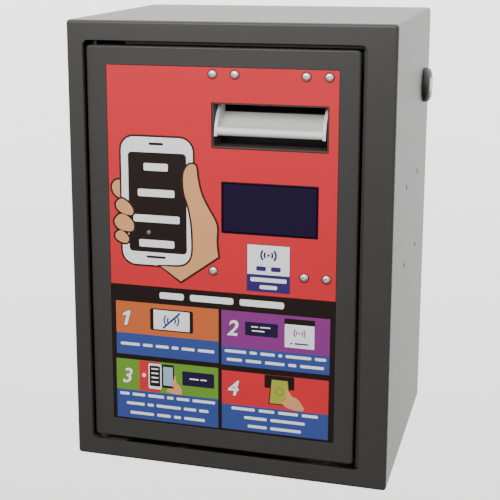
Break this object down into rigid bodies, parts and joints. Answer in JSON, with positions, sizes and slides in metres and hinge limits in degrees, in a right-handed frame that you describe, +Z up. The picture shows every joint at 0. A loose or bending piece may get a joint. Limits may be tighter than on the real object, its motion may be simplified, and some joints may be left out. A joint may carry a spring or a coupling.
{
  "type": "bill validator cabinet",
  "caption": "Small steel wall cabinet with a hinged front door, a banknote mouth, a display window, a printed instruction overlay and a side cam lock.",
  "frame": {"origin": "centre of the cabinet's base, on the face it stands on", "axes": "+X to the right as seen from the front, +Y to the rear, +Z up"},
  "size_m": [0.2558, 0.2, 0.35],
  "materials": {
    "charcoal_paint": "fine texture satin powder coat",
    "zinc_steel": "zinc plated",
    "nickel_screw": "nickel plated",
    "lock_zinc": "black chromed die casting",
    "black_plastic": "fine moulded texture",
    "pale_moulding": "satin moulded",
    "cassette_plastic": "moulded",
    "nylon": "turned",
    "rubber": "ground",
    "brass": "turned",
    "circuit_board": "solder mask",
    "printed_overlay": "printed polyester film, satin",
    "window_lens": "clear over a dark display",
    "display_glass": "unlit display",
    "smoked_lens": "moulded",
    "blue_button": "moulded",
    "cable_jacket": "extruded"
  },
  "bodies": {
    "cabinet": {"cabinet_body": "charcoal_paint", "rear_panel": "charcoal_paint", "hinge_bracket_top": "charcoal_paint", "hinge_bracket_bottom": "charcoal_paint", "hinge_pin_top": "zinc_steel", "hinge_pin_bottom": "zinc_steel", "hinge_washer": "nylon", "lock_housing": "lock_zinc", "lock_nut": "zinc_steel", "latch_guide_1": "zinc_steel", "latch_guide_2": "zinc_steel", "main_board": "circuit_board", "network_box": "black_plastic", "power_supply": "zinc_steel"},
    "aerial": {"aerial": "black_plastic"},
    "lock": {"lock_plug": "zinc_steel", "lock_cam": "zinc_steel"},
    "latch": {"latch_plate": "zinc_steel"},
    "door": {"door_panel": "charcoal_paint", "front_overlay": "printed_overlay", "front_screw_1": "nickel_screw", "front_screw_2": "nickel_screw", "front_screw_3": "nickel_screw", "front_screw_4": "nickel_screw", "front_screw_5": "nickel_screw", "front_screw_6": "nickel_screw", "front_screw_7": "nickel_screw", "latch_keeper_upper": "zinc_steel", "latch_keeper_lower": "zinc_steel", "display_lens": "window_lens", "display_module": "display_glass", "display_board": "circuit_board", "sensor_lens": "smoked_lens", "sensor_board": "circuit_board", "validator_bracket": "zinc_steel", "mouth_surround": "black_plastic", "mouth_bezel": "pale_moulding", "lower_chassis": "black_plastic", "head_pin": "zinc_steel", "drive_motor": "zinc_steel", "drive_belt": "rubber", "stacker_frame": "black_plastic", "stacker_motor": "zinc_steel", "validator_board": "circuit_board", "display_cable": "cable_jacket"},
    "front_shaft": {"front_drive_shaft": "zinc_steel", "front_drive_roller": "rubber"},
    "rear_shaft": {"rear_drive_shaft": "zinc_steel", "rear_drive_roller": "rubber"},
    "motor_rotor": {"motor_pulley": "brass"},
    "validator_head": {"upper_head": "black_plastic"},
    "front_idler": {"front_idler_roller": "nylon"},
    "rear_idler": {"rear_idler_roller": "nylon"},
    "release": {"release_button": "blue_button"},
    "stacker_screw": {"lead_screw": "brass"},
    "pusher": {"pusher_plate": "pale_moulding"},
    "cassette": {"cassette_housing": "cassette_plastic", "pressure_spring": "zinc_steel"},
    "cassette_lid": {"cassette_lid": "cassette_plastic"},
    "note_plate": {"pressure_plate": "zinc_steel"}
  },
  "joints": [
    {"name": "door_swing", "type": "hinge", "parent": "cabinet", "child": "door", "pos_m": [-0.105, -0.0905, 0.175], "axis": [0, 0, -1], "range_deg": [0, 95]},
    {"name": "lock_turn", "type": "hinge", "parent": "cabinet", "child": "lock", "pos_m": [0.115, 0.067, 0.288], "axis": [1, 0, 0], "range_deg": [0, 90]},
    {"name": "latch_slide", "type": "slide", "parent": "cabinet", "child": "latch", "axis": [0, 0, 1], "range_m": [-0.0113, 0]},
    {"name": "motor_spin", "type": "hinge", "parent": "door", "child": "motor_rotor", "pos_m": [-0.015, -0.038, 0.262], "axis": [1, 0, 0], "continuous": true},
    {"name": "front_shaft_spin", "type": "hinge", "parent": "door", "child": "front_shaft", "pos_m": [0.033, -0.058, 0.274], "axis": [1, 0, 0], "continuous": true},
    {"name": "rear_shaft_spin", "type": "hinge", "parent": "door", "child": "rear_shaft", "pos_m": [0.033, -0.018, 0.274], "axis": [1, 0, 0], "continuous": true},
    {"name": "head_open", "type": "hinge", "parent": "door", "child": "validator_head", "pos_m": [0.033, -0.009, 0.3], "axis": [-1, 0, 0], "range_deg": [0, 25]},
    {"name": "front_idler_spin", "type": "hinge", "parent": "validator_head", "child": "front_idler", "pos_m": [0.033, -0.058, 0.2884], "axis": [1, 0, 0], "continuous": true},
    {"name": "rear_idler_spin", "type": "hinge", "parent": "validator_head", "child": "rear_idler", "pos_m": [0.033, -0.018, 0.2884], "axis": [1, 0, 0], "continuous": true},
    {"name": "release_press", "type": "slide", "parent": "validator_head", "child": "release", "axis": [0, 0, -1], "range_m": [0, 0.0025], "stiffness_N_per_m": 200, "springref_m": -0.002},
    {"name": "lead_screw_turn", "type": "hinge", "parent": "door", "child": "stacker_screw", "pos_m": [0.033, -0.055, 0.172], "axis": [0, 1, 0], "range_deg": [0, 1260]},
    {"name": "pusher_slide", "type": "slide", "parent": "door", "child": "pusher", "axis": [0, 1, 0], "range_m": [0, 0.0139]},
    {"name": "cassette_draw", "type": "slide", "parent": "door", "child": "cassette", "axis": [0, 1, 0], "range_m": [0, 0.045]},
    {"name": "lid_open", "type": "hinge", "parent": "cassette", "child": "cassette_lid", "pos_m": [0.033, -0.0008, 0.0945], "axis": [-1, 0, 0], "range_deg": [0, 35]},
    {"name": "note_plate_slide", "type": "slide", "parent": "cassette", "child": "note_plate", "axis": [0, 1, 0], "range_m": [0, 0.024], "stiffness_N_per_m": 60, "springref_m": -0.02, "deforming": ["pressure_spring"]},
    {"name": "aerial_tilt", "type": "hinge", "parent": "cabinet", "child": "aerial", "pos_m": [-0.003, 0.08, 0.1067], "axis": [0, 1, 0], "range_deg": [-80, 80]}
  ],
  "couplings": [
    {"joint": "lock_turn", "follows": "latch_slide", "rad_per_m": -138.84},
    {"joint": "front_shaft_spin", "follows": "motor_spin", "ratio": 0.8},
    {"joint": "rear_shaft_spin", "follows": "motor_spin", "ratio": 0.8},
    {"joint": "lead_screw_turn", "follows": "pusher_slide", "rad_per_m": 1570.8}
  ]
}
